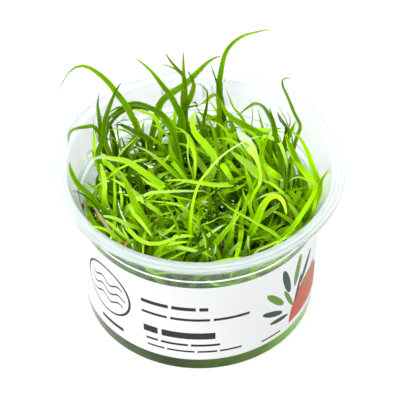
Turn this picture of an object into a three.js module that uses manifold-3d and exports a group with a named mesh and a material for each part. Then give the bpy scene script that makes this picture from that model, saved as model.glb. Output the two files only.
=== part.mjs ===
// Dwarf sagittaria grown in a clear plastic culture cup, on a layer of nutrient gel.
// Millimetres, +Z up. The origin is the centre of the cup's flat underside.
import * as THREE from 'three';
import { mergeVertices } from 'three/addons/utils/BufferGeometryUtils.js';
import Module from 'manifold-3d';

const wasm = await Module();
wasm.setup();

// Cup: a thin moulded pot with a bead under a flared neck and a flat flange for the lid
const CUP_HEIGHT = 52;
const CUP_TURNS = 48;
const WALL = 0.9;
const FLOOR = 1.5;
const BASE_RADIUS = 36;
const BASE_ROUND = 1.6;
const BODY_RADIUS = 36.5;
const BEAD_Z = 41;
const BEAD_HEIGHT = 1;
const BEAD_PROUD = 0.4;
const NECK_Z = 43.5;
const RIM_RADIUS = 38.9;
const FLANGE_RADIUS = 43;
const FLANGE_THICK = 0.9;

// Printed band around the wall, and the gel that fills the bottom of the cup
const GAP = 0.3;
const LABEL_BOTTOM = 5.2;
const LABEL_TOP = 37.9;
const LABEL_THICK = 0.3;
const GEL_TOP = 12;
const GEL_EDGE = 1.2;

// Plantlets: a small crown on the gel, short young leaves grown from it, and long leaves around it
const CROWN_RADIUS = 1.9;
const CROWN_HEIGHT = 3.2;
const CROWN_SIDES = 6;
const CROWN_Z = GEL_TOP + GAP;
const LEAF_THICK = 0.7;
const LONG_STEPS = 8;
const LONG_WIDTH = 2;
const SHORT_STEPS = 3;
const SHORT_LEAVES = 7;
const SHORT_LENGTH = 27;
const SHORT_WIDTH = 1.6;
const GOLDEN_ANGLE = 137.5;
const CLEARANCE = 0.35;

const COLOURS = {
  cup: 0xeef4f2,
  label: 0xf2f5f8,
  gel: 0x5d6b32,
  crown: 0x9cc43a,
  leaves: [0x6fa51c, 0x8fc832, 0x5c8f12, 0xa8dc3c],
};

// Each plantlet stands at a place on the gel. A long leaf runs from the crown through its points to its tip.
const PLANTLETS = [
  {
    at: [12, 4],
    leaves: [
      { through: [[2, 6, 25], [-13, 6, 40], [-26, 3, 51]], tip: [-35, -2, 56] },
      { through: [[17, 9, 30], [19, 9, 39], [15, 8, 51]], tip: [12, 7, 55], width: 2.4 },
      { through: [[14, -10, 29], [21, -25, 62]], tip: [23, -31, 65], width: 2.4 },
    ],
  },
  {
    at: [-4, 12],
    leaves: [
      { through: [[-5, 28, 60], [-8, 25, 68]], tip: [-10, 21, 77], width: 1.6 },
      { through: [[9, 6, 36], [9, 0, 43]], tip: [-10, -13, 58], width: 2.2 },
      { through: [[-1, -5, 23], [-2, -7, 35], [-6, -7, 41]], tip: [-17, -7, 44], width: 1.8 },
      { through: [[-7, 13, 48], [-12, 16, 56], [-21, 20, 56]], tip: [-26, 18, 52], width: 1.8 },
    ],
  },
  {
    at: [-12, -4],
    leaves: [
      { through: [[-14, -7, 27], [-20, -6, 44], [-22, -7, 53]], tip: [-25, -11, 63], width: 2.6 },
      { through: [[-13, -11, 23], [-6, -17, 34]], tip: [2, -29, 43], width: 1.8 },
    ],
  },
  {
    at: [4, -12],
    leaves: [
      { through: [[5, -4, 35], [5, -1, 44]], tip: [7, 0, 51], width: 1.6 },
      { through: [[7, -17, 27], [9, -21, 44]], tip: [12, -26, 58], width: 1.6 },
      { through: [[34, -22, 62], [27, -22, 67]], tip: [24, -25, 69] },
    ],
  },
  {
    at: [26, 2],
    leaves: [
      { through: [[35, -5, 50], [28, 2, 61]], tip: [26, 2, 63], width: 2.2 },
      { through: [[34, -10, 50], [35, -13, 57]], tip: [36, -15, 65], width: 1.6 },
      { through: [[32, 7, 35], [29, 8, 47]], tip: [25, 8, 57], width: 1.8 },
    ],
  },
  {
    at: [20, 17],
    leaves: [
      { through: [[23, 21, 44], [16, 11, 66]], tip: [11, 3, 67], width: 1.8 },
      { through: [[27, 10, 31], [20, 5, 41], [8, 1, 57]], tip: [6, 0, 59], width: 2.8 },
      { through: [[30, 16, 49], [24, 14, 71]], tip: [26, 8, 78], width: 1.4 },
      { through: [[14, 24, 46], [9, 28, 54]], tip: [6, 31, 60], width: 1.4 },
    ],
  },
  {
    at: [6, 25],
    leaves: [
      { through: [[-5, 31, 47], [-4, 32, 59]], tip: [-5, 34, 67] },
      { through: [[6, 33, 51], [7, 34, 60], [9, 36, 67], [15, 36, 72]], tip: [23, 36, 73], width: 2.2 },
      { through: [[8, 32, 39], [5, 33, 57]], tip: [3, 33, 64], width: 1.4 },
      { through: [[3, 16, 22], [-7, 7, 41]], tip: [-16, 2, 55], width: 1.8 },
    ],
  },
  {
    at: [-10, 24],
    leaves: [
      { through: [[-22, 19, 36], [-19, 15, 54], [-33, 19, 73], [-37, 20, 71]], tip: [-42, 21, 62], width: 2.4 },
      { through: [[-6, 22, 49], [-8, 24, 58], [-15, 26, 66]], tip: [-19, 28, 67], width: 2.2 },
      { through: [[-19, 26, 42], [-23, 22, 55]], tip: [-29, 16, 56] },
    ],
  },
  {
    at: [-22, 13],
    leaves: [
      { through: [[-12, 30, 48], [-5, 30, 56], [4, 28, 68]], tip: [7, 26, 72], width: 2.2 },
      { through: [[-33, 15, 52], [-37, 11, 55]], tip: [-37, -10, 68], width: 1.6 },
      { through: [[-30, 17, 49], [-29, 12, 64]], tip: [-29, 8, 73], width: 1.2 },
    ],
  },
  {
    at: [-26, -2],
    leaves: [
      { through: [[-28, -5, 36], [-36, -12, 56]], tip: [-36, -17, 70], width: 1.6 },
      { through: [[-29, 1, 26], [-30, 6, 38]], tip: [-30, 9, 45], width: 2.2 },
      { through: [[-28, 9, 54], [-24, 17, 66]], tip: [-23, 18, 68], width: 1.6 },
    ],
  },
  {
    at: [-20, -17],
    leaves: [
      { through: [[-29, -17, 50], [-35, -25, 66]], tip: [-35, -29, 69], width: 1.2 },
      { through: [[-20, -22, 34], [-26, -25, 50]], tip: [-31, -26, 53], width: 1.6 },
      { through: [[-14, -20, 30], [-10, -22, 40]], tip: [-3, -26, 46], width: 1.8 },
    ],
  },
  {
    at: [-6, -25],
    leaves: [
      { through: [[-9, -28, 28], [-14, -29, 38]], tip: [-20, -27, 44], width: 1.8 },
      { through: [[-2, -27, 30], [4, -29, 40]], tip: [12, -30, 44], width: 2.2 },
      { through: [[-5, -20, 32], [-7, -14, 42]], tip: [-12, -8, 48], width: 1.6 },
    ],
  },
  {
    at: [10, -24],
    leaves: [
      { through: [[-2, -17, 34], [0, -10, 55], [8, -9, 65], [15, -10, 71]], tip: [20, -11, 73], width: 1.2 },
      { through: [[14, -26, 30], [19, -26, 40]], tip: [26, -22, 46] },
    ],
  },
  {
    at: [22, -13],
    leaves: [
      { through: [[25, 6, 35], [22, 18, 55]], tip: [21, 19, 57], width: 1.6 },
      { through: [[24, -18, 38], [11, -24, 55]], tip: [5, -25, 63], width: 1.8 },
      { through: [[28, 4, 40], [28, 12, 52]], tip: [24, 14, 62], width: 1.2 },
    ],
  },
];

const UP = new THREE.Vector3(0, 0, 1);
const DEGREE = Math.PI / 180;

// A turned piece: the section is a closed loop of [radius, height], or starts and ends on the axis
function turned(section) {
  const profile = section.map(([radius, height]) => new THREE.Vector2(radius, height));
  return new THREE.LatheGeometry(profile, CUP_TURNS).rotateX(Math.PI / 2);
}

// The same surface with shared vertices joined, so that it is one closed skin
function closedSkin(geometry) {
  const bare = geometry.clone();
  bare.deleteAttribute('normal');
  bare.deleteAttribute('uv');
  return mergeVertices(bare, 1e-4);
}

function solidOf(geometry) {
  const skin = closedSkin(geometry);
  const mesh = new wasm.Mesh({
    numProp: 3,
    vertProperties: skin.attributes.position.array,
    triVerts: new Uint32Array(skin.index.array),
  });
  return new wasm.Manifold(mesh);
}

function geometryOf(solid) {
  const mesh = solid.getMesh();
  const geometry = new THREE.BufferGeometry();
  geometry.setAttribute('position', new THREE.BufferAttribute(mesh.vertProperties, 3));
  geometry.setIndex(new THREE.BufferAttribute(mesh.triVerts, 1));
  return geometry;
}

function finished(geometry, name, colour, roughness, opacity = 1) {
  geometry.computeVertexNormals();
  const material = new THREE.MeshStandardMaterial({
    color: colour,
    roughness,
    metalness: 0,
    transparent: opacity < 1,
    opacity,
  });
  const mesh = new THREE.Mesh(geometry, material);
  mesh.name = name;
  return mesh;
}

// Outer wall up to the flange, then the inner wall down to the floor of the cup
function cupSection() {
  const beadTop = BEAD_Z + BEAD_HEIGHT;
  return [
    [0, 0],
    [BASE_RADIUS - BASE_ROUND, 0],
    [BASE_RADIUS - BASE_ROUND * 0.3, BASE_ROUND * 0.3],
    [BASE_RADIUS, BASE_ROUND],
    [BODY_RADIUS, BEAD_Z],
    [BODY_RADIUS + BEAD_PROUD, BEAD_Z + BEAD_HEIGHT * 0.3],
    [BODY_RADIUS + BEAD_PROUD, beadTop - BEAD_HEIGHT * 0.3],
    [BODY_RADIUS, beadTop],
    [BODY_RADIUS, NECK_Z],
    [RIM_RADIUS, CUP_HEIGHT - FLANGE_THICK],
    [FLANGE_RADIUS, CUP_HEIGHT - FLANGE_THICK],
    [FLANGE_RADIUS, CUP_HEIGHT],
    [RIM_RADIUS - WALL * 0.5, CUP_HEIGHT],
    [RIM_RADIUS - WALL, CUP_HEIGHT - WALL * 0.5],
    [BODY_RADIUS - WALL, NECK_Z],
    [BASE_RADIUS - WALL, FLOOR + BASE_ROUND],
    [BASE_RADIUS - WALL - BASE_ROUND, FLOOR],
    [0, FLOOR],
  ];
}

// A thin sleeve that follows the slight taper of the wall
function labelSection() {
  const taper = (BODY_RADIUS - BASE_RADIUS) / (BEAD_Z - BASE_ROUND);
  const inside = (z) => BASE_RADIUS + taper * (z - BASE_ROUND) + GAP;
  return [
    [inside(LABEL_BOTTOM), LABEL_BOTTOM],
    [inside(LABEL_BOTTOM) + LABEL_THICK, LABEL_BOTTOM],
    [inside(LABEL_TOP) + LABEL_THICK, LABEL_TOP],
    [inside(LABEL_TOP), LABEL_TOP],
    [inside(LABEL_BOTTOM), LABEL_BOTTOM],
  ];
}

// Set gel, with its edge drawn up a little against the wall
function gelSection() {
  const bottom = FLOOR + GAP;
  const radius = BASE_RADIUS - WALL - GAP;
  return [
    [0, bottom],
    [radius - BASE_ROUND, bottom],
    [radius, bottom + BASE_ROUND],
    [radius, GEL_TOP + GEL_EDGE],
    [radius - GEL_EDGE, GEL_TOP],
    [0, GEL_TOP],
  ];
}

// A leaf blade: a diamond section that follows a line, widest a third of the way up, with a pointed tip.
// The blade lies flat to the way it arches. grow thickens it all round.
function blade(line, width, steps, grow = 0) {
  const cone = new THREE.ConeGeometry(1, 1, 4, steps);
  const place = cone.attributes.position;
  const root = line.getPointAt(0);
  const reach = line.getPointAt(1).sub(root);
  const flat = new THREE.Vector3(-reach.y, reach.x, 0).normalize();
  for (let i = 0; i < place.count; i += 1) {
    const s = Math.min(1, Math.max(0, place.getY(i) + 0.5));
    const spread = s < 1 ? 1 / (1 - s) : 0;
    const tangent = line.getTangentAt(s);
    const side = flat.clone().addScaledVector(tangent, -flat.dot(tangent)).normalize();
    const face = new THREE.Vector3().crossVectors(tangent, side);
    const swell = Math.min(1, 0.6 + 1.2 * s) * (1 - s ** 4);
    const point = line.getPointAt(s);
    point.addScaledVector(side, place.getX(i) * spread * (swell * width * 0.5 + grow));
    point.addScaledVector(face, -place.getZ(i) * spread * (swell * LEAF_THICK * 0.5 + grow));
    place.setXYZ(i, point.x, point.y, point.z);
  }
  return cone;
}

// Pieces that already stand in the cup, each with its solid and its box
const standing = [];

function stand(solid, name) {
  const box = solid.boundingBox();
  standing.push({ solid, name, box });
}

function boxesMeet(a, b) {
  return [0, 1, 2].every((k) => a.min[k] <= b.max[k] && b.min[k] <= a.max[k]);
}

function isClear(solid, ownName = '') {
  const box = solid.boundingBox();
  return standing.every((other) => (
    other.name === ownName
    || !boxesMeet(box, other.box)
    || other.solid.intersect(solid).isEmpty()
  ));
}

function crownSection() {
  return [
    [0, 0],
    [CROWN_RADIUS, 0],
    [CROWN_RADIUS, CROWN_HEIGHT * 0.4],
    [CROWN_RADIUS * 0.6, CROWN_HEIGHT],
    [0, CROWN_HEIGHT],
  ];
}

function crown([x, y]) {
  const profile = crownSection().map(([radius, height]) => new THREE.Vector2(radius, height));
  const core = new THREE.LatheGeometry(profile, CROWN_SIDES).rotateX(Math.PI / 2);
  return core.translate(x, y, CROWN_Z);
}

// The line of a long leaf. Turn moves its foot round the crown, and lift carries the whole leaf
// a little up and forward, or down and back.
function longLine([x, y], leaf, turn, lift) {
  const [first] = leaf.through;
  const heading = Math.atan2(first[1] - y, first[0] - x) + turn * DEGREE;
  const away = CROWN_RADIUS + CLEARANCE + LEAF_THICK;
  const foot = new THREE.Vector3(x + away * Math.cos(heading), y + away * Math.sin(heading), CROWN_Z + GAP);
  const rest = [...leaf.through, leaf.tip].map((p) => new THREE.Vector3(p[0], p[1] - lift, p[2] + lift));
  return new THREE.CatmullRomCurve3([foot, ...rest]);
}

// Ways to set a leaf, the least change first
const LIFTS = [0, 0.7, -0.7, 1.4, -1.4, 2.1, -2.1, 2.8, -2.8, 3.5, -3.5, 4.2, -4.2];
const TURNS = [0, 25, -25, 50, -50, 75, -75];

function longLeaf(at, leaf) {
  const width = leaf.width ?? LONG_WIDTH;
  for (const lift of LIFTS) {
    for (const turn of TURNS) {
      const line = longLine(at, leaf, turn, lift);
      if (isClear(solidOf(blade(line, width, LONG_STEPS, CLEARANCE)))) {
        return blade(line, width, LONG_STEPS);
      }
    }
  }
  return null;
}

// A young leaf grows out of the side of the crown, leans out and bends over a little
function shortLine([x, y], heading, lean, length, rise) {
  const out = new THREE.Vector3(Math.cos(heading * DEGREE), Math.sin(heading * DEGREE), 0);
  const start = new THREE.Vector3(x, y, CROWN_Z + rise).addScaledVector(out, CROWN_RADIUS * 0.45);
  const half = lean * DEGREE;
  const middle = start.clone()
    .addScaledVector(out, length * 0.5 * Math.sin(half))
    .addScaledVector(UP, length * 0.5 * Math.cos(half));
  const tip = middle.clone()
    .addScaledVector(out, length * 0.5 * Math.sin(half * 1.9))
    .addScaledVector(UP, length * 0.5 * Math.cos(half * 1.9));
  return new THREE.CatmullRomCurve3([start, middle, tip]);
}

function shortLeaf(at, ownName, number, plantNumber) {
  const heading = number * GOLDEN_ANGLE + plantNumber * 61;
  const lean = 7 + ((number * 3 + plantNumber * 5) % 7) * 4;
  const length = SHORT_LENGTH + ((number * 5 + plantNumber * 3) % 8) * 2;
  const width = SHORT_WIDTH + ((number + plantNumber) % 3) * 0.2;
  const rise = CROWN_HEIGHT * (0.25 + (0.5 * number) / SHORT_LEAVES);
  for (const share of [1, 0.85, 0.7, 0.55]) {
    for (const turn of [0, 12, -12, 24, -24, 36, -36]) {
      const line = shortLine(at, heading + turn, lean, length * share, rise);
      if (isClear(solidOf(blade(line, width, SHORT_STEPS, CLEARANCE)), ownName)) {
        return solidOf(blade(line, width, SHORT_STEPS));
      }
    }
  }
  return null;
}

const plant = new THREE.Group();

const cupGeometry = turned(cupSection());
plant.add(finished(closedSkin(cupGeometry), 'cup', COLOURS.cup, 0.25, 0.35));
stand(solidOf(cupGeometry), 'cup');
plant.add(finished(closedSkin(turned(labelSection())), 'label', COLOURS.label, 0.45));
const gelGeometry = turned(gelSection());
plant.add(finished(closedSkin(gelGeometry), 'gel', COLOURS.gel, 0.3));
stand(solidOf(gelGeometry), 'gel');

const plantName = (index) => `plant_${String(index + 1).padStart(2, '0')}`;

PLANTLETS.forEach((plantlet, index) => {
  stand(solidOf(crown(plantlet.at)), `${plantName(index)}_crown`);
});

const left = [];
PLANTLETS.forEach((plantlet, index) => {
  plantlet.leaves.forEach((leaf, order) => {
    const name = `${plantName(index)}_leaf_${order + 1}`;
    const geometry = longLeaf(plantlet.at, leaf);
    if (geometry === null) {
      left.push(name);
      return;
    }
    stand(solidOf(geometry), name);
    const colour = COLOURS.leaves[(index + order) % COLOURS.leaves.length];
    plant.add(finished(closedSkin(geometry), name, colour, 0.45));
  });
});

PLANTLETS.forEach((plantlet, index) => {
  const name = `${plantName(index)}_crown`;
  let solid = solidOf(crown(plantlet.at));
  for (let number = 0; number < SHORT_LEAVES; number += 1) {
    const leaf = shortLeaf(plantlet.at, name, number, index);
    if (leaf !== null) {
      solid = solid.add(leaf);
      stand(leaf, name);
    }
  }
  plant.add(finished(geometryOf(solid), name, COLOURS.crown, 0.5));
});

if (left.length > 0) {
  throw new Error(`no room for ${left.join(', ')}`);
}

export default plant;
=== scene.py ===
import math
import random

import bmesh
import bpy
import numpy as np
from mathutils import Matrix, Vector, noise


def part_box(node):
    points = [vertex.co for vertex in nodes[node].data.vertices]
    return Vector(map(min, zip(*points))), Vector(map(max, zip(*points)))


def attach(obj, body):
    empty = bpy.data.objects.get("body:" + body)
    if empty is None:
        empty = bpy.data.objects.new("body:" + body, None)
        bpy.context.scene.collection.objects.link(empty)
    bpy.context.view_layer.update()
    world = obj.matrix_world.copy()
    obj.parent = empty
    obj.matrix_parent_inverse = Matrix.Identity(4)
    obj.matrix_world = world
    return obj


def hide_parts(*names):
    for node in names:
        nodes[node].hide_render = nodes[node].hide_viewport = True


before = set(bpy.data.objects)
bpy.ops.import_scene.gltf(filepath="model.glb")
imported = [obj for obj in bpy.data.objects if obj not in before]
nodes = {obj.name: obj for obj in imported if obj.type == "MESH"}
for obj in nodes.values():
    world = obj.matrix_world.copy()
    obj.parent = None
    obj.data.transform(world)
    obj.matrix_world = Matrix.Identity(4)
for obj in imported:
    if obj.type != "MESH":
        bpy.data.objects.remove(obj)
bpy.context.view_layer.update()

MM = 0.001

# Table and studio. The cup stands on a plain white surface under broad soft lights,
# and the camera looks down on it at about 45 degrees from the front.
VIEW_ELEVATION = math.radians(45.3)
VIEW_DISTANCE = 430 * MM
VIEW_TARGET = Vector((0.2, 0.0, 36.7)) * MM
LENS = 128
SENSOR_WIDTH = 36
TABLE_SIZE = 6

camera_data = bpy.data.cameras.new("camera")
camera_data.lens = LENS
camera_data.sensor_width = SENSOR_WIDTH
camera_data.clip_start = 10 * MM
camera = bpy.data.objects.new("camera", camera_data)
bpy.context.scene.collection.objects.link(camera)
sight = Vector((0, -math.cos(VIEW_ELEVATION), math.sin(VIEW_ELEVATION)))
camera.location = VIEW_TARGET + sight * VIEW_DISTANCE
camera.rotation_euler = (math.pi / 2 - VIEW_ELEVATION, 0, 0)
bpy.context.scene.camera = camera
bpy.context.scene.view_settings.view_transform = "Standard"


def fill(socket, value):
    """Link another node's output to a socket, or set its value, a colour without its alpha."""
    if isinstance(value, bpy.types.NodeSocket):
        socket.id_data.links.new(value, socket)
    else:
        socket.default_value = (*value, 1) if socket.type == "RGBA" else value


def set_sockets(node, **values):
    """Fill a node's sockets by their names, with _ for each space in a name."""
    for name, value in values.items():
        fill(node.inputs[name.replace("_", " ")], value)


def shader_of(material):
    return material.node_tree.nodes["Principled BSDF"]


def new_material(name, **values):
    """A material with the given values in its shader's sockets."""
    material = bpy.data.materials.new(name)
    material.use_nodes = True
    set_sockets(shader_of(material), **values)
    return material


bpy.ops.object.select_all(action="DESELECT")
bpy.ops.mesh.primitive_plane_add(size=TABLE_SIZE)
floor = bpy.context.object
floor.name = "white_table"
floor.data.materials.append(new_material(
    "white_table", Base_Color=(0.3, 0.3, 0.3), Roughness=0.8, Specular_IOR_Level=0,
    Emission_Color=(1, 1, 1), Emission_Strength=0.84,
))

world = bpy.data.worlds.new("soft_room")
bpy.context.scene.world = world
world.use_nodes = True
set_sockets(world.node_tree.nodes["Background"], Color=(0.97, 0.985, 1), Strength=0.56)


def softbox(name, place, size, watts):
    light = bpy.data.lights.new(name, "AREA")
    light.size = size
    light.energy = watts
    lamp = bpy.data.objects.new(name, light)
    bpy.context.scene.collection.objects.link(lamp)
    lamp.location = Vector(place)
    lamp.rotation_euler = (VIEW_TARGET - lamp.location).to_track_quat("-Z", "Y").to_euler()


softbox("softbox_top", place=(-0.18, -0.12, 0.7), size=0.2, watts=4.2)
softbox("softbox_left", place=(-0.6, -0.3, 0.4), size=0.3, watts=1.2)
softbox("softbox_back", place=(0.12, 0.55, 0.5), size=0.25, watts=0.8)

# Cup. One thin wall of clear, faintly milky plastic, moulded in one shot: flat floor, nearly
# straight side, a fine bead that stops the label, a flared neck and a flat flange for the lid.
CUP_TURNS = 160
CUP_HEIGHT = 52.0
WALL = 0.6
FLOOR_THICK = 0.45
BASE_RADIUS = 36.0
SIDE_Z = 30
SIDE_RADIUS = 36.25
BODY_RADIUS = 36.5
BEAD_Z = 40.4
BEAD_ROUND = 0.3
NECK_Z = 43.5
RIM_RADIUS = 39.4
FLANGE_RADIUS = 43.0
FLANGE_THICK = 0.9
FLANGE_ROUND = 0.45
# Shallow channels in the flange's top: way in from its edge, or out from the rim, and depth
OUTER_GROOVE = ((0.8, 0), (1.0, 0.22), (1.3, 0.22), (1.5, 0))
INNER_GROOVE = ((1.4, 0), (1.2, 0.15), (1.0, 0.15), (0.8, 0))
CREASE_ANGLE = math.radians(32)
MERGE_DISTANCE = 0.001 * MM


def arc(centre, radius, start, stop, steps):
    """Points [radius, height] on a quarter or so of a circle, angles in degrees."""
    angles = [math.radians(start + (stop - start) * i / steps) for i in range(steps + 1)]
    return [(centre[0] + radius * math.cos(a), centre[1] + radius * math.sin(a)) for a in angles]


def turned(name, profile, turns, closed=False):
    """A ring drawn at the first point of the profile, extruded and resized from point to point."""
    bpy.ops.object.select_all(action="DESELECT")
    radius, height = profile[0]
    bpy.ops.mesh.primitive_circle_add(vertices=turns, radius=radius * MM, location=(0, 0, height * MM))
    piece = bpy.context.object
    piece.name = name
    bpy.ops.object.mode_set(mode="EDIT")
    bpy.ops.mesh.select_mode(type="VERT")
    bpy.ops.mesh.select_all(action="SELECT")
    for new_radius, new_height in profile[1:]:
        rise = (new_height - height) * MM
        bpy.ops.mesh.extrude_region_move(TRANSFORM_OT_translate={"value": (0, 0, rise)})
        share = new_radius / radius
        bpy.ops.transform.resize(value=(share, share, 1), center_override=(0, 0, new_height * MM))
        radius, height = new_radius, new_height
    if not closed:
        bpy.ops.mesh.edge_face_add()
        bpy.ops.mesh.poke()
        bpy.ops.mesh.select_all(action="DESELECT")
        bpy.ops.object.mode_set(mode="OBJECT")
        for vertex in piece.data.vertices[:turns]:
            vertex.select = True
        bpy.ops.object.mode_set(mode="EDIT")
        bpy.ops.mesh.edge_face_add()
        bpy.ops.mesh.poke()
    bpy.ops.mesh.select_all(action="SELECT")
    bpy.ops.mesh.remove_doubles(threshold=MERGE_DISTANCE)
    bpy.ops.mesh.normals_make_consistent(inside=False)
    bpy.ops.object.mode_set(mode="OBJECT")
    bpy.ops.object.transform_apply()
    bpy.ops.object.shade_smooth_by_angle(angle=CREASE_ANGLE)
    return piece


base_corner = arc((BASE_RADIUS - 0.8, 0.8), 0.8, -90, 0, 6)
bead = arc((BODY_RADIUS + 0.02, BEAD_Z + BEAD_ROUND), BEAD_ROUND, -80, 80, 4)
flange_lip = arc((FLANGE_RADIUS - FLANGE_ROUND, CUP_HEIGHT - FLANGE_ROUND), FLANGE_ROUND, -60, 90, 6)
outer_groove = [(FLANGE_RADIUS - r, CUP_HEIGHT - drop) for r, drop in OUTER_GROOVE]
inner_groove = [(RIM_RADIUS + r, CUP_HEIGHT - drop) for r, drop in INNER_GROOVE]
inner_lip = arc((RIM_RADIUS + 0.15, CUP_HEIGHT - 0.6), 0.6, 90, 163, 5)
inner_corner = arc((BASE_RADIUS - WALL - 0.4, FLOOR_THICK + 0.4), 0.4, 0, -90, 5)
cup_profile = (
    [(BASE_RADIUS - 6, 0)]
    + base_corner
    + [(SIDE_RADIUS, SIDE_Z), (BODY_RADIUS, BEAD_Z - BEAD_ROUND)]
    + bead
    + [(BODY_RADIUS, NECK_Z), (BODY_RADIUS + 0.35, NECK_Z + 0.9)]
    + [(RIM_RADIUS - 0.25, CUP_HEIGHT - 1.9), (RIM_RADIUS + 0.1, CUP_HEIGHT - 1.15)]
    + [(RIM_RADIUS + 0.7, CUP_HEIGHT - FLANGE_THICK), (FLANGE_RADIUS - 0.6, CUP_HEIGHT - 0.85)]
    + flange_lip
    + outer_groove
    + inner_groove
    + inner_lip
    + [(BODY_RADIUS - WALL + 0.3, NECK_Z + 1.0), (BODY_RADIUS - WALL, NECK_Z)]
    + [(BODY_RADIUS - WALL, BEAD_Z + 1)]
    + inner_corner
    + [(BASE_RADIUS - 8, FLOOR_THICK)]
)
cup = turned("cup", cup_profile, CUP_TURNS)


def make_node(kind, settings=(), **values):
    """A node of a kind in the current tree, with its settings and its sockets filled."""
    node = tree.nodes.new("ShaderNode" + kind)
    for name, value in settings:
        setattr(node, name, value)
    set_sockets(node, **values)
    return node


def object_place():
    return make_node("TexCoord").outputs["Object"]


clear_plastic = new_material(
    "clear_plastic", Base_Color=(0.88, 0.965, 0.86), IOR=1.49, Specular_Tint=(0.36, 0.42, 0.15),
    Transmission_Weight=1,
)
tree = clear_plastic.node_tree
haze = make_node("TexNoise", Scale=90, Detail=3, Vector=object_place()).outputs["Fac"]
spread = make_node("MapRange", Value=haze, To_Min=0.08, To_Max=0.16)
ripple = make_node("Bump", Strength=0.12, Distance=0.0004, Height=haze)
set_sockets(
    shader_of(clear_plastic), Roughness=spread.outputs["Result"], Normal=ripple.outputs["Normal"]
)
cup.data.materials.append(clear_plastic)

# Cloudier the thicker it is: its name, how clear it is, its tint, and the height and radius where it starts
GRADES = (
    ("misted_plastic", 0.95, (0.86, 0.965, 0.94), 30.5, 0),
    ("bead_plastic_glowing", 0.1, (0.93, 0.98, 0.96), BEAD_Z, BODY_RADIUS + 0.1),
    ("neck_plastic", 0.7, (0.94, 0.97, 0.98), NECK_Z - 0.3, 0),
    ("milky_plastic", 0.6, (0.83, 0.94, 0.92), 50.7, 0),
)
for finish, clear, colour, start, inner_edge in GRADES:
    grade = clear_plastic.copy()
    grade.name = finish
    set_sockets(
        shader_of(grade), Base_Color=colour, Specular_Tint=(0.36, 0.42, 0.34),
        Transmission_Weight=clear, Subsurface_Weight=1, Subsurface_Radius=(1, 1, 1), Subsurface_Scale=0.002,
    )
    # Painted highlight: the bead glows faintly, for the bright line along it.
    if finish == "bead_plastic_glowing":
        set_sockets(shader_of(grade), Emission_Color=colour, Emission_Strength=0.32)
    cup.data.materials.append(grade)
    for face in cup.data.polygons:
        if face.center.z > start * MM and face.center.xy.length > inner_edge * MM:
            face.material_index = len(cup.data.materials) - 1


def own_copy(piece, name):
    """A copy of a piece that has its own mesh."""
    copy = piece.copy()
    copy.data = piece.data.copy()
    copy.name = name
    bpy.context.scene.collection.objects.link(copy)
    return copy


def joined(parts, name):
    """All the parts as one piece, with the materials of the first."""
    bpy.ops.object.select_all(action="DESELECT")
    for part in parts:
        part.select_set(True)
    bpy.context.view_layer.objects.active = parts[0]
    bpy.ops.object.join()
    parts[0].name = name
    return parts[0]


# Small upright lugs inside the neck, where one empty cup rests in the next: degrees from the back
LUGS = (-52, -18, -13, 2, 6)
LUG_SIZE = Vector((0.6, 0.8, 3.6)) * MM
LUG_MIDDLE = Vector((0, 37.5, 47.6)) * MM
LUG_LEAN = math.radians(18)
LUG_BEVEL = 0.15 * MM
bpy.ops.object.select_all(action="DESELECT")
bpy.ops.mesh.primitive_cube_add(size=1, location=LUG_MIDDLE)
lug = bpy.context.object
bpy.ops.object.mode_set(mode="EDIT")
bpy.ops.mesh.select_all(action="SELECT")
bpy.ops.transform.resize(value=LUG_SIZE, center_override=LUG_MIDDLE)
bpy.ops.transform.rotate(value=LUG_LEAN, orient_axis="X", center_override=LUG_MIDDLE)
bpy.ops.mesh.bevel(offset=LUG_BEVEL, segments=2, affect="EDGES")
bpy.ops.mesh.select_all(action="DESELECT")
bpy.ops.object.mode_set(mode="OBJECT")
bpy.ops.object.transform_apply()
lug.data.materials.append(bpy.data.materials["neck_plastic"])
lugs = [own_copy(lug, "stacking_lug") for angle in LUGS]
for copy, angle in zip(lugs, LUGS):
    copy.data.transform(Matrix.Rotation(math.radians(-angle), 4, "Z"))
joined([cup, *lugs], "cup")
bpy.data.objects.remove(lug)
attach(cup, "root")
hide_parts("cup")

# Label. A white printed band of thin satin film, wrapped once round the side of the cup
# and stuck to it, from just above the base to just below the bead.
LABEL_BOTTOM = 5.2
LABEL_TOP = 37.9
LABEL_OFF = 0.06
LABEL_THICK = 0.14
LABEL_RADIUS = 36.4
label_heights = (LABEL_BOTTOM, 14, 22, SIDE_Z, LABEL_TOP)


def wall_radius(z):
    """Outer radius of the cup's side at a height, both in mm."""
    return np.interp(z, (2.2, SIDE_Z, BEAD_Z - BEAD_ROUND), (BASE_RADIUS, SIDE_RADIUS, BODY_RADIUS))


label_inside = [(wall_radius(z) + LABEL_OFF, z) for z in label_heights]
label_outside = [(radius + LABEL_THICK, z) for radius, z in label_inside]
label_profile = label_outside + label_inside[::-1] + label_outside[:1]
label = turned("label", label_profile, CUP_TURNS, closed=True)

# Painted light: the label's inner face glows faintly pale green, for the light that comes in through the
# film and the clear wall. The printed outer face is a copy that does not glow.
label_back_glowing = new_material(
    "label_back_glowing", Base_Color=(0.95, 0.99, 0.93), Emission_Color=(0.86, 1, 0.84), Emission_Strength=0.34,
    Roughness=0.5, Subsurface_Weight=1, Subsurface_Radius=(1, 1, 1), Subsurface_Scale=0.001,
)
label_print = label_back_glowing.copy()
label_print.name = "label_print"
set_sockets(
    shader_of(label_print), Roughness=0.36, Specular_IOR_Level=0.2, Subsurface_Weight=0.15,
    Emission_Strength=0,
)
tree = label_print.node_tree


def maths(operation, *values):
    """A Math node on numbers or on other nodes' outputs."""
    node = make_node("Math", [("operation", operation)])
    for socket, value in zip(node.inputs, values):
        fill(socket, value)
    return node.outputs[0]


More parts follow.
